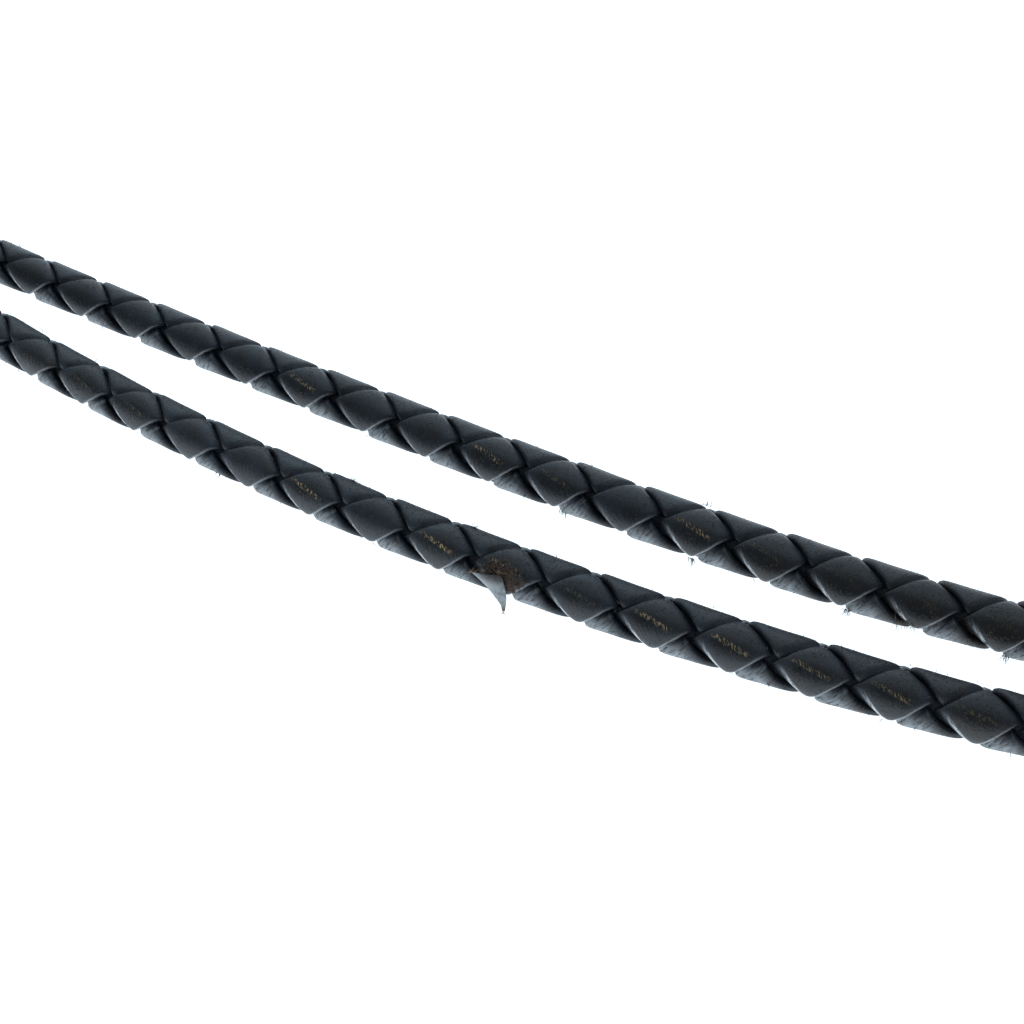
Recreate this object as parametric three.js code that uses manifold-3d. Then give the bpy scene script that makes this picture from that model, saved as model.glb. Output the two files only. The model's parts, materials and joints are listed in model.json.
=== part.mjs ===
// A bolo tie lying on a table, in millimetres: a round braided leather cord doubled into a neck loop
// and two free legs, a slide that both strands run through, and a metal tip on each free end.
// +Z is up. The origin is the middle of the slide's flat back, the legs run along -Y and the neck
// loop along +Y. The braid itself is fine surface work, so each stretch of cord is a plain tube here.
import * as THREE from "three";
import { mergeVertices } from "three/addons/utils/BufferGeometryUtils.js";
import Module from "manifold-3d";

// Driving dimensions.
const CORD_RADIUS = 2.4;
const CORD_SIDES = 12;
const LEG_STEPS = 14;
const LOOP_STEPS = 44;
const CORD_CLEARANCE = 0.35;

const SLIDE_WIDTH = 32;
const SLIDE_LENGTH = 40;
const SLIDE_RIM_HEIGHT = 7.4;
const SLIDE_DOME_HEIGHT = 9.2;
const SLIDE_EDGE_BREAK = 0.6;
const SLIDE_SHOULDER = 1.6;
const CHANNEL_SPACING = 11;
const CHANNEL_HEIGHT = 3.7;

const TIP_MOUTH_RADIUS = 3.35;
const TIP_END_RADIUS = 2.1;
const TIP_LENGTH = 46;
const TIP_SOCKET_DEPTH = 9.5;
const TIP_COLLAR_LENGTH = 3;
const TIP_LIP = 0.3;

// Cord centrelines. A strand leaves the slide at the channel's height and comes down to the table
// within 25 mm. The legs and the loop meet inside the slide's channels, 0.3 mm apart. The last two
// points of a leg are the mouth of its tip and the cord's end in the tip's socket.
const LEG_RIGHT = [
  [5.5, -8, 3.7],
  [5.5, -18, 3.7],
  [5.1, -30, 2.85],
  [4.1, -42, 2.45],
  [3.3, -55, 2.42],
  [2.7, -69, 2.42],
  [2.1, -83, 2.42],
  [1.6, -97, 2.42],
  [1.2, -110, 2.42],
  [1.1, -123, 2.42],
  [1.3, -137, 2.42],
  [1.9, -150, 2.42],
  [2.9, -162, 2.45],
  [4.3, -173, 2.7],
  [6.2, -183, 3.2],
  [8, -192, 3.47],
  [9.7, -201, 3.19],
];
const LEG_LEFT = [
  [-5.5, -8, 3.7],
  [-5.5, -18, 3.7],
  [-4.7, -30, 2.85],
  [-4.6, -42, 2.45],
  [-6, -55, 2.42],
  [-8.1, -69, 2.42],
  [-9.8, -83, 2.42],
  [-11, -97, 2.42],
  [-11.6, -110, 2.42],
  [-11.6, -123, 2.42],
  [-11.1, -137, 2.42],
  [-10, -150, 2.42],
  [-8.6, -162, 2.45],
  [-7, -173, 2.7],
  [-5.3, -183, 3.2],
  [-3.6, -192, 3.47],
  [-1.9, -201, 3.19],
];
const NECK_LOOP = [
  [5.5, -7.7, 3.7],
  [5.5, 6, 3.7],
  [5.5, 18, 3.7],
  [7, 31, 2.85],
  [11.7, 46, 2.45],
  [20, 63, 2.42],
  [31, 81, 2.42],
  [42, 100, 2.42],
  [51, 121, 2.42],
  [57, 143, 2.42],
  [59, 166, 2.42],
  [56, 189, 2.42],
  [47, 209, 2.42],
  [33, 225, 2.42],
  [15, 234, 2.42],
  [-4, 236, 2.42],
  [-23, 231.5, 2.42],
  [-40, 220.5, 2.42],
  [-52, 204, 2.42],
  [-58.5, 183, 2.42],
  [-59.5, 161, 2.42],
  [-56, 139, 2.42],
  [-49, 118, 2.42],
  [-40, 98, 2.42],
  [-29, 78, 2.42],
  [-18.5, 60, 2.42],
  [-11, 44, 2.45],
  [-6.8, 30, 2.85],
  [-5.5, 18, 3.7],
  [-5.5, 6, 3.7],
  [-5.5, -7.7, 3.7],
];

const wasm = await Module();
wasm.setup();

function solidFrom(geometry) {
  const bare = geometry.clone();
  bare.deleteAttribute("normal");
  bare.deleteAttribute("uv");
  const merged = mergeVertices(bare, 1e-4);
  const mesh = new wasm.Mesh({
    numProp: 3,
    vertProperties: merged.attributes.position.array,
    triVerts: new Uint32Array(merged.index.array),
  });
  return new wasm.Manifold(mesh);
}

function geometryFrom(solid) {
  const mesh = solid.getMesh();
  const geometry = new THREE.BufferGeometry();
  geometry.setAttribute("position", new THREE.BufferAttribute(mesh.vertProperties, 3));
  geometry.setIndex(new THREE.BufferAttribute(mesh.triVerts, 1));
  geometry.computeVertexNormals();
  return geometry;
}

function leatherMaterial() {
  return new THREE.MeshStandardMaterial({ color: 0x17181b, roughness: 0.45, metalness: 0 });
}

function metalMaterial() {
  return new THREE.MeshStandardMaterial({ color: 0xb9bcc0, roughness: 0.3, metalness: 1 });
}

function namedMesh(name, geometry, material) {
  const mesh = new THREE.Mesh(geometry, material);
  mesh.name = name;
  return mesh;
}

// A stretch of cord: one round section drawn along its centreline.
function cordStretch(name, route, steps) {
  const section = new THREE.Shape();
  section.absarc(0, 0, CORD_RADIUS, 0, 2 * Math.PI, false);
  const path = new THREE.CatmullRomCurve3(route.map((point) => new THREE.Vector3(...point)));
  const options = { steps, extrudePath: path, curveSegments: CORD_SIDES, bevelEnabled: false };
  return namedMesh(name, new THREE.ExtrudeGeometry(section, options), leatherMaterial());
}

// The slide: an oval button with a flat back, an upright rim and a low dome, and two channels
// through its length for the two strands.
function slide() {
  const radius = SLIDE_LENGTH / 2;
  const outline = new THREE.Path();
  outline.moveTo(0, 0);
  outline.lineTo(radius - SLIDE_EDGE_BREAK, 0);
  outline.lineTo(radius, SLIDE_EDGE_BREAK);
  outline.lineTo(radius, SLIDE_RIM_HEIGHT - SLIDE_SHOULDER);
  outline.quadraticCurveTo(radius, SLIDE_RIM_HEIGHT, radius - SLIDE_SHOULDER, SLIDE_RIM_HEIGHT);
  outline.quadraticCurveTo(radius / 2, SLIDE_DOME_HEIGHT, 0, SLIDE_DOME_HEIGHT);
  const button = new THREE.LatheGeometry(outline.getPoints(6), 48);
  button.rotateX(Math.PI / 2);
  button.scale(SLIDE_WIDTH / SLIDE_LENGTH, 1, 1);
  let solid = solidFrom(button);
  for (const side of [-1, 1]) {
    const bore = new THREE.CylinderGeometry(
      CORD_RADIUS + CORD_CLEARANCE,
      CORD_RADIUS + CORD_CLEARANCE,
      SLIDE_LENGTH + 10,
      28,
    );
    bore.translate((side * CHANNEL_SPACING) / 2, 0, CHANNEL_HEIGHT);
    solid = solid.subtract(solidFrom(bore));
  }
  return namedMesh("slide", geometryFrom(solid), metalMaterial());
}

// A tip: a tapered ferrule with a plain collar at its mouth, a socket for the cord and a round
// nose. Its axis runs from the leg's second last point through its last one, so that its underside
// lies on the table.
function tip(name, leg) {
  const socketRadius = CORD_RADIUS + CORD_CLEARANCE;
  const outline = new THREE.Path();
  outline.moveTo(0, TIP_SOCKET_DEPTH);
  outline.lineTo(socketRadius, TIP_SOCKET_DEPTH);
  outline.lineTo(socketRadius, 0);
  outline.lineTo(TIP_MOUTH_RADIUS - TIP_LIP, 0);
  outline.lineTo(TIP_MOUTH_RADIUS, TIP_LIP);
  outline.lineTo(TIP_MOUTH_RADIUS, TIP_COLLAR_LENGTH);
  outline.lineTo(TIP_MOUTH_RADIUS - TIP_LIP, TIP_COLLAR_LENGTH + TIP_LIP);
  outline.lineTo(TIP_END_RADIUS, TIP_LENGTH - TIP_END_RADIUS);
  outline.quadraticCurveTo(TIP_END_RADIUS, TIP_LENGTH, 0, TIP_LENGTH);
  const ferrule = namedMesh(name, new THREE.LatheGeometry(outline.getPoints(6), 32), metalMaterial());
  const mouth = new THREE.Vector3(...leg.at(-2));
  const end = new THREE.Vector3(...leg.at(-1));
  const heading = end.sub(mouth).normalize();
  ferrule.position.copy(mouth);
  ferrule.quaternion.setFromUnitVectors(new THREE.Vector3(0, 1, 0), heading);
  return ferrule;
}

const group = new THREE.Group();
group.add(
  cordStretch("cord_neck_loop", NECK_LOOP, LOOP_STEPS),
  cordStretch("cord_leg_right", LEG_RIGHT, LEG_STEPS),
  cordStretch("cord_leg_left", LEG_LEFT, LEG_STEPS),
  slide(),
  tip("tip_right", LEG_RIGHT),
  tip("tip_left", LEG_LEFT),
);
export default group;
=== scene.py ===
import json
import math

import bmesh
import bpy
import numpy as np
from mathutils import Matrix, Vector

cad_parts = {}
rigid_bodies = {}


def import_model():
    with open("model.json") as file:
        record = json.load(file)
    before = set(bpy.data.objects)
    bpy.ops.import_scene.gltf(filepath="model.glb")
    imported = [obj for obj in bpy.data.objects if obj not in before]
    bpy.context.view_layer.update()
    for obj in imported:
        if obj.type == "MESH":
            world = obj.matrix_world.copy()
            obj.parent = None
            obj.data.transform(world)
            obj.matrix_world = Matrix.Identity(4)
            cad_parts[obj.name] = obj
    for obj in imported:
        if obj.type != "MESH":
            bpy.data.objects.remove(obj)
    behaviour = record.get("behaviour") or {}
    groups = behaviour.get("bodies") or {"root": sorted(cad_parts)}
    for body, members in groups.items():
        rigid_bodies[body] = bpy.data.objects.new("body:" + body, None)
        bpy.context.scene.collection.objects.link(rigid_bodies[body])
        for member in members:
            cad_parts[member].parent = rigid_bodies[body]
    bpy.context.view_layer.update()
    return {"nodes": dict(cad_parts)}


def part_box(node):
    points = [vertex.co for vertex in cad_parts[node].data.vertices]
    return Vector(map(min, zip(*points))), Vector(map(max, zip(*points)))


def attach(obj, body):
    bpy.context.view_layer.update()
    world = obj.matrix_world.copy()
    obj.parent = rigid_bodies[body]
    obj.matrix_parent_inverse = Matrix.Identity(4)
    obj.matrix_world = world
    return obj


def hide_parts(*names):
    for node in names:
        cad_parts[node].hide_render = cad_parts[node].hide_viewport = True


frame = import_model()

MM = 0.001
scene = bpy.context.scene

# ---------------------------------------------------------------- sizes

CORD_DIAMETER = 4.8 * MM
CORE_RADIUS = 1.36 * MM
CORE_SIDES = 12
LACE_THICKNESS = 0.84 * MM
EDGE_SHARPNESS = 0.3
# The radius that a lace's middle winds at, and how far it rises at a crest and its rims, and sinks.
BRAID_RADIUS = 1.84 * MM
CREST_RISE = 0.14 * MM
RIM_RISE = 0.06 * MM
DEEPEST = 0.78 * MM
# How far the braid's centre line lies over the plain cord's, so that its laces clear the table.
REST_LIFT = 0.27 * MM
# A lace's way round the cord: the distance between diamonds, the angle to the cord, and the side of
# one diamond measured along the lace.
DIAMOND_PITCH = 7.28 * MM
LAY_LENGTH = 2 * DIAMOND_PITCH
BRAID_ANGLE = math.atan(2 * math.pi * BRAID_RADIUS / LAY_LENGTH)
CELL = LAY_LENGTH / (4 * math.cos(BRAID_ANGLE))

# The two hands of lace differ: the laces that wind forward lie loose and domed, and the others are
# drawn flat. Each has the depth of the dip where it dives, how full it stays behind and ahead of its
# middle, how late it dives at each end, how much lower its leading end lies, and how far its leading
# edge is raised.
HANDS = {
    1: {"dip": 0.74 * MM, "behind": 3.4, "ahead": 4.0, "late_behind": 0.80, "late_ahead": 0.86,
        "slope": 0.0, "slant": 0.13 * MM},
    -1: {"dip": 0.34 * MM, "behind": 8.0, "ahead": 8.0, "late_behind": 0.95, "late_ahead": 0.95,
         "slope": 0.16 * MM, "slant": 0.0},
}
# The width of a lace and how far it lies aside, as shares of its diamond, on the upper side of the
# cord and on the lower side, where the flat laces have worn narrower.
SPREAD = {1: ((0.91, -0.022), (0.91, -0.022)), -1: ((0.92, 0.03), (0.77, -0.05))}
# The four laces: the way each one winds and its place in its pair.
LACES = [(1, 0), (1, 1), (-1, 0), (-1, 1)]
# For each stretch: the facing of its worn column in degrees above the outer horizontal, the distance
# at which a diamond has its middle, the points round a lace, the step along it and the seed.
WEAVE = {
    "cord_leg_right": (46, -1.85 * MM, 28, 0.32 * MM, 100),
    "cord_leg_left": (42, 0.25 * MM, 28, 0.32 * MM, 200),
    "cord_neck_loop": (46, 0.0, 20, 0.66 * MM, 300),
}
# What the leather's finish reads at each point: two places on the lace, and shares of 0 to 1.
PLACES = ("lace", "cell")
SHARES = ("wear", "rim", "torn", "browned", "underside")
# How unevenly a lace lies: its wander and the raggedness of its edges as shares of its diamond, and
# how far a diamond may tilt.
WANDER = 0.02
EDGE_RAGGEDNESS = 0.012
TILT = 0.05 * MM
NOISE_VALUES = 4096
# How much narrower a lace's outer face is than its inner one, and how much thinner its edges are.
TAPER = 0.035
EDGE_THINNING = 0.10
# How worn the outer diamonds are, and the shares of wear and of pale rim that the others have.
WEAR_RANGE = (0.05, 0.6)
INNER_WEAR = 0.15
INNER_RIM = 0.08
# How far apart in mm the laces of a pair, and the two pairs, read the leather's patterns.
NUMBER_APART = 20
PAIR_APART = 50
# The radius of the fibres of each kind at their root.
FUZZ = 0.032 * MM
RAGGED_FIBRE = 0.022 * MM
TORN_FIBRE = 0.024 * MM
ROOT_FIBRE = 0.040 * MM

# ---------------------------------------------------------------- cord routes, in millimetres

LEG_RIGHT = [
    (5.5, -8, 3.7), (5.5, -18, 3.7), (5.1, -30, 2.85), (4.1, -42, 2.45), (3.3, -55, 2.42),
    (2.7, -69, 2.42), (2.1, -83, 2.42), (1.6, -97, 2.42), (1.2, -110, 2.42), (1.1, -123, 2.42),
    (1.3, -137, 2.42), (1.9, -150, 2.42), (2.9, -162, 2.45), (4.3, -173, 2.7), (6.2, -183, 3.2),
    (8, -192, 3.47), (9.7, -201, 3.19),
]
LEG_LEFT = [
    (-5.5, -8, 3.7), (-5.5, -18, 3.7), (-4.7, -30, 2.85), (-4.6, -42, 2.45), (-6, -55, 2.42),
    (-8.1, -69, 2.42), (-9.8, -83, 2.42), (-11, -97, 2.42), (-11.6, -110, 2.42),
    (-11.6, -123, 2.42), (-11.1, -137, 2.42), (-10, -150, 2.42), (-8.6, -162, 2.45),
    (-7, -173, 2.7), (-5.3, -183, 3.2), (-3.6, -192, 3.47), (-1.9, -201, 3.19),
]
NECK_LOOP = [
    (5.5, -7.7, 3.7), (5.5, 6, 3.7), (5.5, 18, 3.7), (7, 31, 2.85), (11.7, 46, 2.45),
    (20, 63, 2.42), (31, 81, 2.42), (42, 100, 2.42), (51, 121, 2.42), (57, 143, 2.42),
    (59, 166, 2.42), (56, 189, 2.42), (47, 209, 2.42), (33, 225, 2.42), (15, 234, 2.42),
    (-4, 236, 2.42), (-23, 231.5, 2.42), (-40, 220.5, 2.42), (-52, 204, 2.42),
    (-58.5, 183, 2.42), (-59.5, 161, 2.42), (-56, 139, 2.42), (-49, 118, 2.42), (-40, 98, 2.42),
    (-29, 78, 2.42), (-18.5, 60, 2.42), (-11, 44, 2.45), (-6.8, 30, 2.85), (-5.5, 18, 3.7),
    (-5.5, 6, 3.7), (-5.5, -7.7, 3.7),
]

# The worn cord is a little slimmer near the slide and plumper below it: (distance, share) pairs.
GIRTH_RIGHT = [(30, 0.97), (52, 0.95), (80, 0.98), (105, 1.05), (130, 1.08), (160, 1.08), (180, 1)]
GIRTH_LEFT = [(30, 0.97), (60, 0.95), (90, 0.98), (110, 1.03), (140, 1.07), (162, 1.08), (182, 1)]

# Where the dye has browned with handling: it starts at the first distance and is full at the second.
BROWNED_RIGHT = (118, 165)
BROWNED_LEFT = (130, 190)
BROWNED_LOOP = (-60, 900)

# Torn places: distance along the leg in mm, facing in degrees above the outer horizontal, and how
# far they reach in mm and degrees.
TORN_DIAMOND = (116.2, 22, 2.5, 42)
RAGGED_SPOTS = [(149.6, -16, 1.3, 13), (156.3, -14, 1.0, 12)]

# The tongue of grain that hangs from the torn diamond, in millimetres: its two edges from the root,
# which is sunk into the cord, to the end that almost touches the table, and the way its face points.
STRIP_LEFT_EDGE = [
    (-13.64, -120.32, 2.85), (-14.15, -120.6, 3.4), (-14.4, -121.8, 3.05), (-14.44, -122.8, 2.35),
    (-14.53, -123.65, 1.55), (-14.56, -124.2, 0.95), (-14.8, -124.5, 0.45),
]
STRIP_RIGHT_EDGE = [
    (-13.35, -123.77, 3.5), (-13.95, -124.1, 4.15), (-14.25, -124.45, 3.7), (-14.35, -124.65, 2.95),
    (-14.43, -124.8, 2.1), (-14.42, -124.75, 1.3), (-14.72, -124.76, 0.5),
]
STRIP_FACING = Vector((-0.8, 0.1, 0.55))
# How far it bows as a share of its width, its thickness and the quads across and along it.
STRIP_BOW = 0.16
STRIP_THICKNESS = 0.14 * MM
STRIP_ACROSS = 8
STRIP_ALONG = 30

# Tufts of loose fibres: distance along the leg in mm, facing in degrees, how many, their length in mm
# and how far they lean towards the tip.
TUFTS_RIGHT = [
    (128.8, 128, 9, 0.9, 0.6), (129.0, -38, 12, 0.9, 0.9), (115.5, -38, 10, 0.8, 0.5),
    (144.5, -30, 14, 1.0, 0.4), (159.0, -32, 12, 1.0, 0.3),
]
TUFTS_LEFT = [(97.8, 128, 12, 1.0, 1.4), (111.3, 126, 10, 0.8, 1.4), (84.0, -36, 6, 0.6, 0.2)]
# The fuzz of a leg: how many fibres, between which distances in mm and which facings in degrees.
FUZZ_COUNT = 240
FUZZ_STRETCH = (20, 180)
FUZZ_FACING = (-40, 220)
# How many raw fibres each ragged spot has, with its seed.
RAGGED_FIBRES = [(26, 21), (16, 22)]
# The radius in mm at which fuzz, tufts and torn fibres start.
FUZZ_ROOT = 2.42
TUFT_ROOT = 2.38
TORN_ROOT = 2.36

# Where a leg leaves the slide, and the stretch of cord that gives a tip its heading.
EXIT_DISTANCE = 10 * MM
TIP_STRETCH = 8 * MM

# ---------------------------------------------------------------- colours

INK = (0.004, 0.006, 0.010)
SLATE = (0.013, 0.022, 0.034)
BROWNED_BLACK = (0.012, 0.010, 0.009)
DULL_BROWN = (0.040, 0.024, 0.015)
CENTRE_BLACK = (0.004, 0.005, 0.006)
CENTRE_BROWN = (0.008, 0.005, 0.003)
DUST = (0.12, 0.135, 0.15)
PIT = (0.002, 0.002, 0.003)
# A pale rim: partly rubbed, partly a painted highlight on the cut edge.
RUBBED_EDGE_AND_HIGHLIGHT = (0.55, 0.58, 0.61)
# A painted highlight on the shoulder where a lace dives.
DIVE_HIGHLIGHT = (0.62, 0.65, 0.68)
# Painted bounce light from the white table, low on the cord.
UNDERSIDE_BOUNCE = (0.26, 0.285, 0.31)
CRACK_TAN = (0.46, 0.32, 0.16)
TORN_DARK = (0.006, 0.005, 0.005)
TORN_RUST = (0.115, 0.055, 0.030)
RAW_DARK = (0.012, 0.008, 0.006)
RAW_TAN = (0.20, 0.125, 0.065)
FUZZ_BLACK = (0.004, 0.005, 0.006)
FUZZ_GREY = (0.018, 0.019, 0.021)
STRIP_GREY = (0.18, 0.195, 0.21)
STRIP_PALE = (0.36, 0.38, 0.40)
STRIP_END = (0.17, 0.11, 0.055)
STRIP_ROOT = (0.045, 0.032, 0.024)
METAL_DULL = (0.40, 0.405, 0.41)
METAL_CLEAN = (0.50, 0.50, 0.495)
METAL_SMUDGE = (0.32, 0.31, 0.295)
METAL_SCRATCH = (0.66, 0.66, 0.66)
COOL_LIGHT = (0.72, 0.87, 1.0)
SHEEN_TINT = (0.75, 0.88, 1.0, 1)
ROOM_LIGHT = (0.80, 0.92, 1.0, 1)
TABLE_WHITE = (0.8, 0.8, 0.8, 1)
TABLE_GLOW = (0.84, 0.93, 1.0, 1)

# ---------------------------------------------------------------- light

TABLE_SIZE = 8
TABLE_STRENGTH = 1.25
ROOM_STRENGTH = 0.24
# Each lamp's place, what it is aimed at, its size in metres and its power in watts.
LAMPS = {
    "overhead": ((0.30, 0.14, 0.85), (0, -0.1, 0), 1.4, 4.3),
    "window": ((0.85, 0.42, 0.40), (0, -0.1, 0.1), 1.0, 3.0),
}

# ---------------------------------------------------------------- camera

CAMERA_AZIMUTH = math.radians(-61.0)
CAMERA_ELEVATION = math.radians(43.0)
CAMERA_DISTANCE = 0.195
CAMERA_LENS = 72.07
CAMERA_SENSOR = 36.0
AIM = Vector((-4.8 * MM, -120 * MM, 2.84 * MM))


def make_camera():
    data = bpy.data.cameras.new("camera")
    data.lens = CAMERA_LENS
    data.sensor_width = CAMERA_SENSOR
    data.clip_start = 0.01
    data.clip_end = 50
    camera = bpy.data.objects.new("camera", data)
    scene.collection.objects.link(camera)
    flat = math.cos(CAMERA_ELEVATION)
    back = Vector((
        math.sin(CAMERA_AZIMUTH) * flat,
        -math.cos(CAMERA_AZIMUTH) * flat,
        math.sin(CAMERA_ELEVATION),
    ))
    camera.location = AIM + back * CAMERA_DISTANCE
    camera.rotation_mode = "QUATERNION"
    camera.rotation_quaternion = (-back).to_track_quat("-Z", "Y")
    scene.camera = camera


make_camera()

# ---------------------------------------------------------------- shader maths


class Link:
    """A shader socket with arithmetic: an expression on values adds its Math nodes."""

    def __init__(self, tree, socket):
        self.tree = tree
        self.socket = socket

    def math(self, operation, *others):
        inputs = dict(enumerate((self, *others)))
        return add_node(self.tree, "Math", {"operation": operation}, 0, inputs)

    def __add__(self, other):
        return self.math("ADD", other)

    __radd__ = __add__

    def __sub__(self, other):
        return self.math("SUBTRACT", other)

    def __rsub__(self, other):
        return (self * -1) + other

    def __mul__(self, other):
        return self.math("MULTIPLY", other)

    __rmul__ = __mul__

    def __abs__(self):
        return self.math("ABSOLUTE")

    def step(self, low, high):
        """0 on low's side, 1 on high's side and smooth between; low may be the larger."""
        inputs = {"Value": self, "From Min": low, "From Max": high}
        return add_node(self.tree, "MapRange", {"interpolation_type": "SMOOTHSTEP"}, "Result", inputs)


def plug(tree, socket, value):
    if isinstance(value, Link):
        tree.links.new(value.socket, socket)
    else:
        socket.default_value = value


def add_node(tree, kind, settings, output, inputs):
    """Adds a node of that kind: its settings first, then the values or links of its sockets."""
    node = tree.nodes.new("ShaderNode" + kind)
    for name, value in settings.items():
        setattr(node, name, value)
    for socket, value in inputs.items():
        plug(tree, node.inputs[socket], value)
    return Link(tree, node.outputs[output])


def spaced(sockets):
    """Sockets named as Python keywords, by their own names."""
    return {name.replace("_", " "): value for name, value in sockets.items()}


class Finish:
    """A material under construction: its node tree, its shader and its bump chain."""

    def __init__(self, name, **shader):
        self.material = bpy.data.materials.new(name)
        self.material.use_nodes = True
        self.tree = self.material.node_tree
        self.shader = self.tree.nodes["Principled BSDF"]
        self.normal = None
        for socket, value in spaced(shader).items():
            self.shader.inputs[socket].default_value = value

    def node(self, kind, settings=None, output=0, **sockets):
        return add_node(self.tree, kind, settings or {}, output, spaced(sockets))

    def attribute(self, name, output="Fac"):
        return self.node("Attribute", {"attribute_name": name}, output)

    def objects(self):
        return self.node("TexCoord", None, "Object")

    def noise(self, where, scale, detail=3.0, roughness=0.55):
        return self.node("TexNoise", None, "Fac", Vector=where, Scale=scale, Detail=detail,
                         Roughness=roughness)

    def parts(self, vector):
        split = self.node("SeparateXYZ", Vector=vector).socket.node
        return [Link(self.tree, out) for out in split.outputs]

    def join(self, x, y, z):
        return self.node("CombineXYZ", X=x, Y=y, Z=z)

    def mix(self, factor, first, second):
        """A colour between two: the factor's socket is 0, and the colours' are 6 and 7."""
        colours = [value if isinstance(value, Link) else (*value, 1.0) for value in (first, second)]
        inputs = {0: factor, 6: colours[0], 7: colours[1]}
        return add_node(self.tree, "Mix", {"data_type": "RGBA"}, 2, inputs)

    def bump(self, height, depth, strength=1.0):
        """Adds a bump of that depth in metres to the chain."""
        before = {} if self.normal is None else {"Normal": self.normal}
        self.normal = self.node("Bump", Height=height, Distance=depth, Strength=strength, **before)

    def finish(self, **sockets):
        if self.normal is not None:
            sockets["Normal"] = self.normal
        for name, value in spaced(sockets).items():
            plug(self.tree, self.shader.inputs[name], value)
        return self.material


# ---------------------------------------------------------------- leather


def braided_leather():
    """Black dyed leather: slate sheen, fine pores, cracks, pale rims that are partly worn and partly
    painted highlight, a painted highlight where a lace dives and painted bounce light low on the
    cord. Patterns follow each lace: along and across it in mm, and its diamonds in shares of a
    diamond's side."""
    made = Finish("braided_leather", Specular_IOR_Level=0.5, Sheen_Weight=0.03, Sheen_Roughness=0.3,
                  Sheen_Tint=SHEEN_TINT)
    along, across, outward = made.parts(made.attribute("lace", "Vector"))
    cell, offset, _ = made.parts(made.attribute("cell", "Vector"))
    wear = made.attribute("wear")
    browned = made.attribute("browned")
    worn_side = wear.step(0.0, 0.3)
    flat = made.join(along, across, 0.0)

    # The dye: clouded black, browner with handling, and darkest in the middle of a worn diamond.
    pits = made.node("TexVoronoi", None, "Distance", Vector=flat, Scale=3.8).step(0.30, 0.10)
    blotches = made.noise(flat, 0.55)
    wrinkles = made.noise(made.join(along * 6.0, across * 0.9, 3.0), 1.0, 3.0, 0.7)
    grain = made.noise(flat, 5.5, 3.0, 0.65)
    black = made.mix(blotches.step(0.34, 0.66), INK, SLATE)
    black = made.mix(browned * 0.7, black, BROWNED_BLACK)
    brown = made.noise(flat, 0.35, 2.0).step(0.50, 0.70) * (wear * 0.5 + browned * 0.4)
    colour = made.mix(brown, black, DULL_BROWN)
    centre = abs(cell).step(0.46, 0.14) * abs(offset).step(0.46, 0.14) * worn_side
    colour = made.mix(centre * 0.7, colour, made.mix(browned, CENTRE_BLACK, CENTRE_BROWN))
    colour = made.mix(grain.step(0.58, 0.76) * 0.30, colour, DUST)
    colour = made.mix(pits * 0.7, colour, PIT)

    # Pale rims, partly rubbed and partly painted highlight, a painted highlight on the shoulder where
    # a lace dives, and painted bounce light in a fine hatch low on the cord.
    # The pale rim is partly rubbed cut edge and partly a painted highlight where the edge catches the
    # light.
    rim = made.attribute("rim") * made.noise(flat, 1.1, 2.0).step(0.20, 0.50) * cell.step(0.50, -0.30)
    colour = made.mix(rim, colour, RUBBED_EDGE_AND_HIGHLIGHT)
    # A painted highlight: the pale streak on the shoulder where a lace dives stands for the white
    # table's reflection.
    dive_highlight = abs(cell + 0.45).step(0.055, 0.015) * offset.step(-0.42, 0.12)
    streaks = made.noise(made.join(along * 7.0, across * 1.0, 5.0), 1.0, 2.0).step(0.36, 0.52)
    colour = made.mix(dive_highlight * streaks * worn_side, colour, DIVE_HIGHLIGHT)
    # Painted bounce light: the lower laces are painted pale, in a fine hatch, for the light from the
    # white table.
    bounce_hatch = made.noise(made.join(along * 5.0, across * 0.8, 8.0), 1.0, 3.0, 0.7).step(0.36, 0.56)
    bounce_hatch = bounce_hatch * abs(cell - offset).step(0.80, 0.30) * (cell + offset).step(0.20, -0.30)
    colour = made.mix(bounce_hatch * made.attribute("underside"), colour, UNDERSIDE_BOUNCE)

    # A row of fine tan cracks along the crest, where the legs are handled.
    crest = abs(cell - offset * 0.62 - 0.02)
    row = crest.step(0.065, 0.02) * abs(offset + 0.06).step(0.36, 0.22)
    cracks = made.noise(made.join(along * 8.0, across * 2.6, 7.0), 1.0, 2.0, 0.6).step(0.51, 0.59)
    handled = along.step(70.0, 120.0) * (1.0 - browned.step(0.15, 0.60) * 0.9)
    cracks = cracks * row * wear.step(0.14, 0.46) * outward.step(0.2, 0.7) * handled
    colour = made.mix(cracks, colour, CRACK_TAN)

    # Raw leather where the grain has been torn off, with an irregular edge.
    strands = made.noise(made.join(along * 2.2, across * 7.0, 9.0), 1.0, 3.0, 0.65)
    edge = made.noise(flat, 2.4, 3.0) - 0.5
    torn = (made.attribute("torn") + edge * 2.6).step(0.42, 0.66)
    colour = made.mix(torn, colour, made.mix(strands.step(0.38, 0.66), TORN_DARK, TORN_RUST))

    made.bump(pits * -1.0 + wrinkles * 1.2 + grain * 0.7, 0.06 * MM, 0.8)
    made.bump(cracks * -1.0 + torn * strands * 2.5, 0.06 * MM, 0.8)
    rough = 0.36 + blotches * 0.16 - centre * 0.16 + rim * 0.2 + cracks * 0.2 + torn * 0.4
    return made.finish(Base_Color=colour, Roughness=rough)


# ---------------------------------------------------------------- routes and laces


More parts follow.
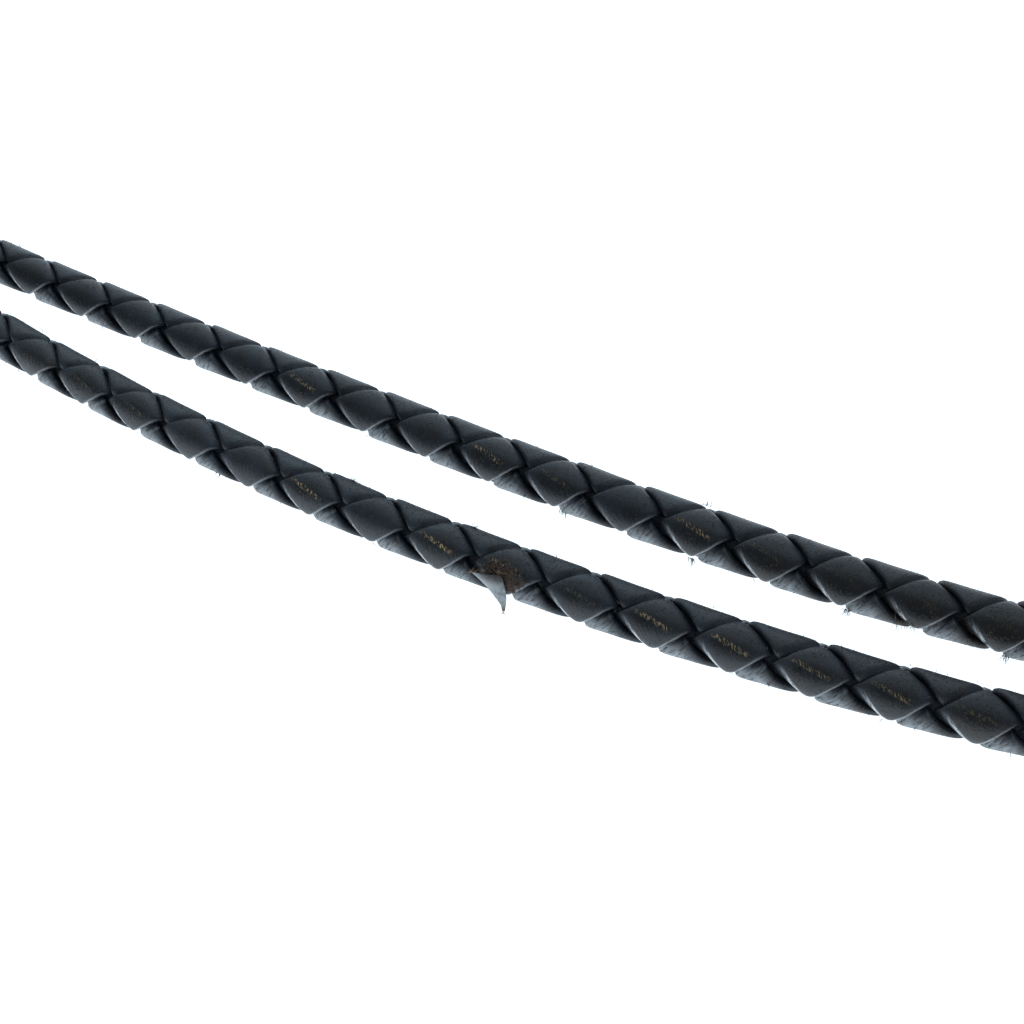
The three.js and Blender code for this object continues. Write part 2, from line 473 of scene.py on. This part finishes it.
class Route:
    """A centripetal Catmull-Rom curve through its points, sampled evenly with level frames."""

    def __init__(self, points, girth=None, tears=(), browned=(0, 1), spacing=0.5 * MM):
        self.girth = girth
        self.browned = browned
        self.tears = tears
        given = np.array(points, float) * MM
        first = 2 * given[0] - given[1]
        last = 2 * given[-1] - given[-2]
        knots = np.vstack([first, given, last])
        fine = []
        for p0, p1, p2, p3 in zip(knots, knots[1:], knots[2:], knots[3:]):
            fine.append(self.segment(p0, p1, p2, p3))
        line = np.vstack([*fine, given[-1:]])
        lengths = np.r_[0, np.cumsum(np.linalg.norm(np.diff(line, axis=0), axis=1))]
        self.length = lengths[-1]
        self.at = np.linspace(0, self.length, int(self.length / spacing) + 1)
        self.line = np.stack([np.interp(self.at, lengths, line[:, k]) for k in range(3)], axis=1)
        self.line[:, 2] += REST_LIFT + (self.plumpness(self.at) - 1) * CORD_DIAMETER / 2
        ahead = np.gradient(self.line, self.at, axis=0)
        self.ahead = ahead / np.linalg.norm(ahead, axis=1, keepdims=True)

    def brownness(self, distance):
        """How far the dye has browned, 0 to 1: it grows between two distances, in mm."""
        start, end = self.browned
        return np.clip((distance / MM - start) / (end - start), 0, 1)

    def plumpness(self, distance):
        """The cord's thickness along its length against the nominal one."""
        if self.girth is None:
            return np.ones_like(distance)
        where, share = np.array(self.girth, float).T
        return np.interp(distance / MM, where, share)

    @staticmethod
    def segment(p0, p1, p2, p3, steps=60):
        t1 = np.linalg.norm(p1 - p0) ** 0.5
        t2 = t1 + np.linalg.norm(p2 - p1) ** 0.5
        t3 = t2 + np.linalg.norm(p3 - p2) ** 0.5
        t = np.linspace(t1, t2, steps, endpoint=False)[:, None]
        a1 = (t1 - t) / t1 * p0 + t / t1 * p1
        a2 = (t2 - t) / (t2 - t1) * p1 + (t - t1) / (t2 - t1) * p2
        a3 = (t3 - t) / (t3 - t2) * p2 + (t - t2) / (t3 - t2) * p3
        b1 = (t2 - t) / t2 * a1 + t / t2 * a2
        b2 = (t3 - t) / (t3 - t1) * a2 + (t - t1) / (t3 - t1) * a3
        return (t2 - t) / (t2 - t1) * b1 + (t - t1) / (t2 - t1) * b2

    def surface(self, distance, facing, radius):
        """The point at that distance in mm, facing in degrees and radius in mm, with the directions
        outward and onward."""
        point, side, up, ahead = self.frame(np.array([distance * MM]))
        turned = math.radians(facing)
        outward = math.cos(turned) * side[0] + math.sin(turned) * up[0]
        share = self.plumpness(np.array([distance * MM]))[0]
        return Vector(point[0] + outward * radius * MM * share), Vector(outward), Vector(ahead[0])

    def frame(self, distance):
        """Points and the sideways, upward and onward directions there, clamped to the ends."""
        inside = np.clip(distance, 0, self.length)
        point = np.stack([np.interp(inside, self.at, self.line[:, k]) for k in range(3)], axis=-1)
        ahead = np.stack([np.interp(inside, self.at, self.ahead[:, k]) for k in range(3)], axis=-1)
        ahead /= np.linalg.norm(ahead, axis=-1, keepdims=True)
        side = np.cross(ahead, [0.0, 0.0, 1.0])
        side /= np.linalg.norm(side, axis=-1, keepdims=True)
        up = np.cross(side, ahead)
        return point, side, up, ahead


def lace_sheet(section, steps):
    """A flat sheet of quads, section by steps, that a lace or a core is rolled from."""
    sheet = bmesh.new()
    bmesh.ops.create_grid(sheet, x_segments=section, y_segments=steps, size=0.5)
    return sheet


def even_noise(seed, where, wavelength):
    """Smooth noise from -1 to 1 along a line."""
    values = np.random.default_rng(seed).uniform(-1, 1, NOISE_VALUES)
    place = where / wavelength
    low = np.floor(place).astype(int)
    part = place - low
    part = part * part * (3 - 2 * part)
    return values[low % NOISE_VALUES] * (1 - part) + values[(low + 1) % NOISE_VALUES] * part


def per_diamond(seed, cell, least, most):
    """One value for each diamond along a lace, changing where the lace is hidden."""
    values = np.random.default_rng(seed).uniform(least, most, NOISE_VALUES)
    return values[np.round(cell / 2).astype(int) % NOISE_VALUES]


def lace_section(share):
    """Across and outward, each -1 to 1, at shares of the way round a lace's oblong section: most
    points are spread evenly, and the rest crowd the corners."""
    turned = np.linspace(0, 2 * math.pi, 2401)
    across = np.sign(np.cos(turned)) * np.abs(np.cos(turned)) ** EDGE_SHARPNESS
    outward = np.sign(np.sin(turned)) * np.abs(np.sin(turned)) ** EDGE_SHARPNESS
    steps = np.hypot(np.diff(across) * CELL, np.diff(outward) * LACE_THICKNESS)
    travelled = np.r_[0, np.cumsum(steps)] / steps.sum()
    place = 0.72 * travelled + 0.28 * turned / turned[-1]
    return np.interp(share, place, across), np.interp(share, place, outward)


def lace_height(hand, phase, cell, seed):
    """The shares of a lace that are over and domed, and how far its middle rises or sinks."""
    late = np.where(phase < 0, hand["late_behind"], hand["late_ahead"])
    swing = np.cos(math.pi * phase * late)
    over = np.clip(swing, 0, 1)
    under = np.clip(-swing, 0, 1)
    dome = 1 - (1 - over) ** np.where(phase < 0, hand["behind"], hand["ahead"])
    dome = dome * per_diamond(seed, cell, 0.93, 1.0)
    height = (CREST_RISE - hand["slope"] * phase) * dome - hand["dip"] * (1 - dome)
    return over, dome, height - (DEEPEST - hand["dip"]) * under


def roll_lace(sheet, route, turn, number, start_angle, origin, seed):
    """Bends a flat sheet into one lace of the braid: a strip of oblong section that winds round the
    route, over one lace and under the next. turn is 1 or -1, the way it winds, number is 0 or 1, the
    lace's place in its set, and origin is the distance at which a diamond has its middle."""
    flat = np.array([v.co for v in sheet.verts])
    across, outward = lace_section(flat[:, 0] + 0.5)
    a = (flat[:, 1] + 0.5) * route.length / math.cos(BRAID_ANGLE)
    shift = origin / math.cos(BRAID_ANGLE)
    ahead_by = 0 if turn > 0 else 1
    cell = (a - shift) / CELL + ahead_by
    hand = HANDS[turn]
    phase = cell - 2 * np.round(cell / 2)
    over, dome, height = lace_height(hand, phase, cell, seed + 2)
    wander = WANDER * even_noise(seed, a, 6 * MM)
    near_edge = even_noise(seed + 1, a, 0.5 * MM)
    far_edge = even_noise(seed + 5, a, 0.5 * MM)
    rough_edge = EDGE_RAGGEDNESS * np.where(across > 0, far_edge, near_edge) * np.abs(across)
    tilt = TILT * per_diamond(seed + 3, cell, -1, 1) * over * across
    lower_side = (np.round(cell / 2).astype(int) + number) % 2 == 1
    (upper_width, upper_aside), (lower_width, lower_aside) = SPREAD[turn]
    width = np.where(lower_side, lower_width, upper_width) * (1 - TAPER * (outward + 1))
    aside = np.where(lower_side, lower_aside, upper_aside)
    b = (across * (width + rough_edge) / 2 + aside + wander) * CELL
    rim = (RIM_RISE * across ** 2 + hand["slant"] * across) * dome
    normal = outward * LACE_THICKNESS / 2 * (1 - EDGE_THINNING * np.abs(across) ** 3)
    angle = start_angle + math.pi * number
    angle = angle + turn * (a - shift - b) * math.sin(BRAID_ANGLE) / BRAID_RADIUS
    distance = (a + b) * math.cos(BRAID_ANGLE)
    plump = route.plumpness(distance)
    radius = (BRAID_RADIUS + height + rim + tilt + normal) * plump
    point, side, up, _ = route.frame(distance)
    place = point + (np.cos(angle)[:, None] * side + np.sin(angle)[:, None] * up) * radius[:, None]
    skew = math.cos(2 * BRAID_ANGLE)
    along_lace = (a + b * skew) / MM
    across_lace = b * math.sin(2 * BRAID_ANGLE) / MM
    apart = NUMBER_APART * number + PAIR_APART * ahead_by
    return {
        "co": place,
        "lace": np.stack([along_lace, across_lace + apart, outward], axis=1),
        "cell": np.stack([phase, b / CELL, np.zeros_like(b)], axis=1),
        "wear": wear_at(cell, turn, number, seed),
        "rim": rim_wear_and_highlight(across, outward, turn),
        "torn": torn_at(route, distance, angle) * (outward > 0) * (turn > 0),
        "browned": route.brownness(distance),
        "underside": lower_side * 1.0 if turn < 0 else np.zeros_like(b),
    }


def torn_at(route, distance, angle):
    """1 inside the places where the grain has been torn off, fading to 0 round them."""
    torn = np.zeros_like(distance)
    around = np.degrees((angle + math.pi) % (2 * math.pi) - math.pi)
    for middle, facing, reach, spread in route.tears:
        off = np.hypot((distance / MM - middle) / reach, (around - facing) / spread)
        torn = np.maximum(torn, np.clip(1.6 - 1.3 * off, 0, 1))
    return torn


def rim_wear_and_highlight(across, outward, turn):
    """How pale the corner of the cut edge is, partly rubbed and partly a painted highlight: the edge
    that turns down and out is rubbed most and painted palest.
    """
    corner = np.clip((np.abs(across) - 0.93) / 0.06, 0, 1) * np.clip(outward / 0.6, 0, 1)
    rubbed = (across > 0) & (turn > 0)
    return corner * np.where(rubbed, 1.0, INNER_RIM)


def wear_at(cell, turn, number, seed):
    """How worn each point's diamond is, 0 to 1: the side that faces up and out is worn most."""
    worn = per_diamond(seed + 4, cell, *WEAR_RANGE)
    turns_round = np.round(cell / 2).astype(int) + number
    outer = (turns_round % 2 == 0) & (turn > 0)
    return np.where(outer, worn, worn * INNER_WEAR)


def roll_core(sheet, route):
    """Bends a flat sheet into the round core that the laces are braided over."""
    flat = np.array([v.co for v in sheet.verts])
    angle = (flat[:, 0] + 0.5) * 2 * math.pi
    distance = (flat[:, 1] + 0.5) * route.length
    point, side, up, _ = route.frame(distance)
    radius = (CORE_RADIUS * route.plumpness(distance))[:, None]
    round_it = np.cos(angle)[:, None] * side + np.sin(angle)[:, None] * up
    none = np.zeros_like(angle)
    return {
        "co": point + round_it * radius,
        "lace": np.stack([distance / MM, angle, none - 1], axis=1),
        "cell": np.stack([none + 1, none, none], axis=1),
        **{key: none for key in SHARES},
    }


def weave_layers(mesh):
    """The attributes that the leather's finish reads."""
    vectors = {key: mesh.verts.layers.float_vector.new(key) for key in PLACES}
    return {**vectors, **{key: mesh.verts.layers.float.new(key) for key in SHARES}}


def add_rolled(whole, sheet, facts):
    """Closes a rolled sheet into a tube with capped ends and adds it to the whole mesh."""
    layers = weave_layers(sheet)
    for place, vertex in enumerate(sheet.verts):
        vertex.co = facts["co"][place]
        for key, layer in layers.items():
            vertex[layer] = facts[key][place]
    bmesh.ops.remove_doubles(sheet, verts=sheet.verts, dist=1e-7)
    ends = [edge for edge in sheet.edges if edge.is_boundary]
    bmesh.ops.holes_fill(sheet, edges=ends)
    bmesh.ops.recalc_face_normals(sheet, faces=sheet.faces)
    if sheet.calc_volume(signed=True) < 0:
        bmesh.ops.reverse_faces(sheet, faces=sheet.faces)
    part = bpy.data.meshes.new("rolled_part")
    sheet.to_mesh(part)
    sheet.free()
    whole.from_mesh(part)
    bpy.data.meshes.remove(part)


def braid(name, route, finish, facing, origin, section, step, seed):
    """The four laces of one stretch of cord and its core, joined in one mesh."""
    whole = bmesh.new()
    weave_layers(whole)
    steps = int(route.length / math.cos(BRAID_ANGLE) / step)
    core = lace_sheet(CORE_SIDES, int(route.length / MM))
    add_rolled(whole, core, roll_core(core, route))
    for place, (turn, number) in enumerate(LACES):
        sheet = lace_sheet(section, steps)
        lace_seed = seed + 10 * place
        facts = roll_lace(sheet, route, turn, number, math.radians(facing), origin, lace_seed)
        add_rolled(whole, sheet, facts)
    mesh = bpy.data.meshes.new(name)
    whole.to_mesh(mesh)
    whole.free()
    mesh.shade_smooth()
    piece = bpy.data.objects.new(name, mesh)
    scene.collection.objects.link(piece)
    mesh.materials.append(finish)
    return piece


leather = braided_leather()
routes = {
    "cord_leg_right": Route(LEG_RIGHT, GIRTH_RIGHT, RAGGED_SPOTS, BROWNED_RIGHT),
    "cord_leg_left": Route(LEG_LEFT, GIRTH_LEFT, [TORN_DIAMOND], BROWNED_LEFT),
    "cord_neck_loop": Route(NECK_LOOP, browned=BROWNED_LOOP),
}
for node, route in routes.items():
    piece = braid("braid_" + node[5:], route, leather, *WEAVE[node])
    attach(piece, "root")
    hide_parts(node)

# ---------------------------------------------------------------- fibres and the torn strip


def torn_leather():
    """Raw rust and tan fibres where the grain has been torn away."""
    made = Finish("torn_leather", Roughness=0.85, Sheen_Weight=0.3)
    mixed = made.noise(made.objects(), 900.0, 2.0).step(0.35, 0.65)
    return made.finish(Base_Color=made.mix(mixed, RAW_DARK, RAW_TAN))


def black_fuzz():
    """Fine dyed fibres that stand off the cut edges."""
    made = Finish("black_fuzz", Roughness=0.7, Sheen_Weight=0.3)
    mixed = made.noise(made.objects(), 700.0, 2.0).step(0.4, 0.7)
    return made.finish(Base_Color=made.mix(mixed, FUZZ_BLACK, FUZZ_GREY))


def strip_leather():
    """The torn strip's face: pale grey, brown at its root and tan at its end."""
    made = Finish("strip_leather", Sheen_Weight=0.2)
    place = made.objects()
    drawn = made.noise(place, 1500.0, 3.0, 0.6)
    colour = made.mix(drawn.step(0.3, 0.7), STRIP_GREY, STRIP_PALE)
    height = made.parts(place)[2]
    colour = made.mix(height.step(1.15 * MM, 0.7 * MM), colour, STRIP_END)
    root = (height + (drawn - 0.5) * 2.0 * MM).step(3.1 * MM, 4.2 * MM)
    colour = made.mix(root * 0.85, colour, STRIP_ROOT)
    made.bump(drawn, 0.04 * MM)
    return made.finish(Base_Color=colour, Roughness=0.45 + drawn * 0.2)


def fibres(name, strands, finish, radius):
    """A tuft of tapering fibres, each a line of points."""
    data = bpy.data.curves.new(name, "CURVE")
    data.dimensions = "3D"
    data.bevel_depth = radius
    data.bevel_resolution = 0
    data.use_fill_caps = True
    for strand in strands:
        spline = data.splines.new("POLY")
        spline.points.add(len(strand) - 1)
        for place, (point, bead) in enumerate(zip(strand, spline.points)):
            bead.co = (*point, 1.0)
            bead.radius = 1.0 - 0.8 * place / (len(strand) - 1)
    tuft = bpy.data.objects.new(name, data)
    scene.collection.objects.link(tuft)
    data.materials.append(finish)
    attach(tuft, "root")
    return tuft


def fibre_line(rng, start, heading, outward, length, curl):
    """Five points of one bent fibre."""
    points = [start]
    way = heading.normalized()
    for _ in range(4):
        shake = Vector(rng.normal(0, 1, 3)) * curl
        way = (way + shake + outward * 0.12).normalized()
        points.append(points[-1] + way * length / 4)
    return points


def fuzz_along(route, seed):
    """Short fibres that stand off the cord at random, all round it but its underside."""
    rng = np.random.default_rng(seed)
    lines = []
    for _ in range(FUZZ_COUNT):
        where = rng.uniform(*FUZZ_STRETCH), rng.uniform(*FUZZ_FACING)
        point, outward, ahead = route.surface(*where, FUZZ_ROOT)
        heading = outward * rng.uniform(0.1, 0.7) + ahead * rng.uniform(-1, 1)
        lines.append(fibre_line(rng, point, heading, outward, rng.uniform(0.25, 0.8) * MM, 0.25))
    return lines


def tuft_at(route, distance, facing, count, length, lean):
    """A tuft of fibres that stands off one place."""
    rng = np.random.default_rng(int(distance))
    lines = []
    for _ in range(count):
        where = distance + rng.normal(0, 0.25), facing + rng.normal(0, 3.5)
        point, outward, ahead = route.surface(*where, TUFT_ROOT)
        heading = outward + ahead * (lean + rng.normal(0, 0.5))
        lines.append(fibre_line(rng, point, heading, outward, length * rng.uniform(0.5, 1) * MM, 0.3))
    return lines


def loose_fibres(route, seed, tufts):
    """The fuzz along one leg, and its tufts."""
    lines = fuzz_along(route, seed)
    for tuft in tufts:
        lines += tuft_at(route, *tuft)
    return lines


def torn_fibres(route, tear, count, seed):
    """Raw fibres over a torn place, lying mostly the way the strip was pulled."""
    middle, facing, reach, spread = tear
    rng = np.random.default_rng(seed)
    lines = []
    for _ in range(count):
        turned, out = rng.uniform(0, 2 * math.pi), math.sqrt(rng.uniform(0, 0.75))
        where = middle + reach * out * math.cos(turned), facing + spread * out * math.sin(turned)
        point, outward, ahead = route.surface(*where, TORN_ROOT)
        down = outward.cross(ahead)
        heading = ahead * rng.uniform(-0.3, 1.0) + down * rng.uniform(-0.9, 0.9) + outward * 0.3
        lines.append(fibre_line(rng, point, heading, outward, rng.uniform(0.5, 1.5) * MM, 0.35))
    return lines


def strip_fibres(count, seed):
    """Raw fibres along the line where the strip is still attached, and a few at its frayed end."""
    rng = np.random.default_rng(seed)
    start, end = Vector(STRIP_LEFT_EDGE[1]) * MM, Vector(STRIP_RIGHT_EDGE[1]) * MM
    lines = []
    for _ in range(count):
        aside = STRIP_FACING * rng.uniform(0.05, 0.3) + Vector((0, 0, rng.uniform(-0.1, 0.6)))
        point = start.lerp(end, rng.uniform(0.05, 1)) + aside * MM
        heading = (end - start).normalized() * rng.uniform(-1, 1)
        heading.z += rng.uniform(-0.4, 0.4)
        lines.append(fibre_line(rng, point, heading, STRIP_FACING, rng.uniform(0.4, 1.1) * MM, 0.3))
    tip = (Vector(STRIP_LEFT_EDGE[-1]) + Vector(STRIP_RIGHT_EDGE[-1])) / 2 * MM
    for _ in range(6):
        heading = Vector((rng.uniform(-0.4, 0.1), rng.uniform(-0.5, 0.5), -0.5))
        lines.append(fibre_line(rng, tip, heading, Vector(), 0.32 * MM, 0.1))
    return lines


def torn_strip(name, finish):
    """The strip of grain that hangs from the torn diamond: a thin bowed tongue between two edges,
    wide where it is still attached and narrow where it reaches the table."""
    edges = [[Vector(p) * MM for p in edge] for edge in (STRIP_LEFT_EDGE, STRIP_RIGHT_EDGE)]
    strip = bmesh.new()
    bmesh.ops.create_grid(strip, x_segments=STRIP_ACROSS, y_segments=STRIP_ALONG, size=0.5)
    for vertex in strip.verts:
        share = (0.5 - vertex.co.y) * (len(edges[0]) - 1)
        low = min(int(share), len(edges[0]) - 2)
        left, right = (edge[low].lerp(edge[low + 1], share - low) for edge in edges)
        across = vertex.co.x
        bow = (1 - (2 * across) ** 2) * (right - left).length * STRIP_BOW
        vertex.co = left.lerp(right, across + 0.5) + STRIP_FACING.normalized() * bow
    bmesh.ops.smooth_vert(strip, verts=strip.verts, factor=0.5, use_axis_x=True, use_axis_y=True,
                          use_axis_z=True)
    bmesh.ops.recalc_face_normals(strip, faces=strip.faces)
    bmesh.ops.solidify(strip, geom=strip.faces[:], thickness=STRIP_THICKNESS)
    bmesh.ops.recalc_face_normals(strip, faces=strip.faces)
    data = bpy.data.meshes.new(name)
    strip.to_mesh(data)
    strip.free()
    data.shade_smooth()
    tongue = bpy.data.objects.new(name, data)
    scene.collection.objects.link(tongue)
    rounded = tongue.modifiers.new("rounded", "SUBSURF")
    rounded.levels = 1
    rounded.render_levels = 1
    data.materials.append(finish)
    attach(tongue, "root")
    return tongue


right, left = routes["cord_leg_right"], routes["cord_leg_left"]
fuzz = black_fuzz()
raw = torn_leather()
ragged = []
for spot, (count, seed) in zip(RAGGED_SPOTS, RAGGED_FIBRES):
    ragged += torn_fibres(right, spot, count, seed)
extras = {
    "cord_leg_right": [
        fibres("fuzz_leg_right", loose_fibres(right, 11, TUFTS_RIGHT), fuzz, FUZZ),
        fibres("raw_edge_leg_right", ragged, raw, RAGGED_FIBRE),
    ],
    "cord_leg_left": [
        fibres("fuzz_leg_left", loose_fibres(left, 12, TUFTS_LEFT), fuzz, FUZZ),
        fibres("torn_fibres_leg_left", torn_fibres(left, TORN_DIAMOND, 46, 23), raw, TORN_FIBRE),
        fibres("strip_root_fibres", strip_fibres(30, 24), raw, ROOT_FIBRE),
        torn_strip("torn_strip_leg_left", strip_leather()),
    ],
}

tips = {"cord_leg_right": "tip_right", "cord_leg_left": "tip_left"}
for node, tip in tips.items():
    route = routes[node]
    mouth = [float(x) for x in route.frame(np.array([EXIT_DISTANCE]))[0][0]]

# ---------------------------------------------------------------- slide and tips


def satin_metal(name, centre, tilt, lengthwise):
    """Satin-brushed metal in the place of one fitting: fine lines across or along it, soft clouds of
    tarnish, a few scratches and handling smudges."""
    made = Finish(name, Metallic=1.0, Specular_IOR_Level=0.5)
    turned = made.node("Mapping", {"vector_type": "TEXTURE"}, 0, Vector=made.objects(),
                       Location=centre, Rotation=(0.0, 0.0, tilt))
    across, along, up = made.parts(turned)
    aside, onward = (9000.0, 160.0) if lengthwise else (160.0, 9000.0)
    lines = made.join(across * aside, along * onward, up * 9000.0)
    brushed = made.noise(lines, 1.0, 2.0, 0.6)
    clouds = made.noise(turned, 150.0, 4.0, 0.6)
    smudges = made.noise(turned, 420.0, 3.0, 0.5).step(0.50, 0.72)
    scratch_field = made.noise(made.join(across * 900.0, along * 240.0, up * 500.0), 1.0, 1.5, 0.4)
    scratches = abs(scratch_field - 0.52).step(0.012, 0.003) * clouds.step(0.45, 0.6)
    colour = made.mix(clouds.step(0.30, 0.70), METAL_DULL, METAL_CLEAN)
    colour = made.mix(smudges * 0.2, colour, METAL_SMUDGE)
    colour = made.mix(scratches * 0.5, colour, METAL_SCRATCH)
    made.bump(brushed, 0.010 * MM, 0.7)
    made.bump(scratches * -1.0, 0.012 * MM, 0.5)
    rough = 0.27 + brushed * 0.10 + clouds * 0.06 + smudges * 0.10
    return made.finish(Base_Color=colour, Roughness=rough)


def middle_of(node):
    """The middle of a node's box."""
    low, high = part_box(node)
    return tuple((a + b) / 2 for a, b in zip(low, high))


def dress_fittings():
    """Gives the slide and the tips, which stay as the construction model has them, their metal."""
    slide_metal = satin_metal("satin_slide", middle_of("slide"), 0.0, False)
    fittings = {"slide": slide_metal}
    for leg, tip in tips.items():
        length = routes[leg].length
        start, end = routes[leg].frame(np.array([length - TIP_STRETCH, length]))[0]
        heading = math.atan2(end[1] - start[1], end[0] - start[0]) - math.pi / 2
        fittings[tip] = satin_metal("satin_" + tip, middle_of(tip), heading, True)
    for node, metal in fittings.items():
        piece = frame["nodes"][node]
        for slot in piece.material_slots:
            slot.material = metal


dress_fittings()

# ---------------------------------------------------------------- table and light


def make_floor():
    bpy.ops.mesh.primitive_plane_add(size=TABLE_SIZE)
    floor = bpy.context.active_object
    floor.name = "table"
    made = Finish("white_table", Base_Color=TABLE_WHITE, Roughness=0.7, Emission_Color=TABLE_GLOW,
                  Emission_Strength=TABLE_STRENGTH)
    floor.data.materials.append(made.finish())


def soft_light(name, place, aim, size, power):
    data = bpy.data.lights.new(name, "AREA")
    data.shape = "SQUARE"
    data.size = size
    data.energy = power
    data.color = COOL_LIGHT
    lamp = bpy.data.objects.new(name, data)
    scene.collection.objects.link(lamp)
    lamp.location = place
    lamp.rotation_mode = "QUATERNION"
    lamp.rotation_quaternion = (Vector(aim) - Vector(place)).to_track_quat("-Z", "Y")


def make_light():
    for name, lamp in LAMPS.items():
        soft_light(name, *lamp)
    world = bpy.data.worlds.new("room")
    world.use_nodes = True
    background = world.node_tree.nodes["Background"]
    background.inputs["Color"].default_value = ROOM_LIGHT
    background.inputs["Strength"].default_value = ROOM_STRENGTH
    scene.world = world


make_floor()
make_light()
scene.view_settings.view_transform = "Standard"
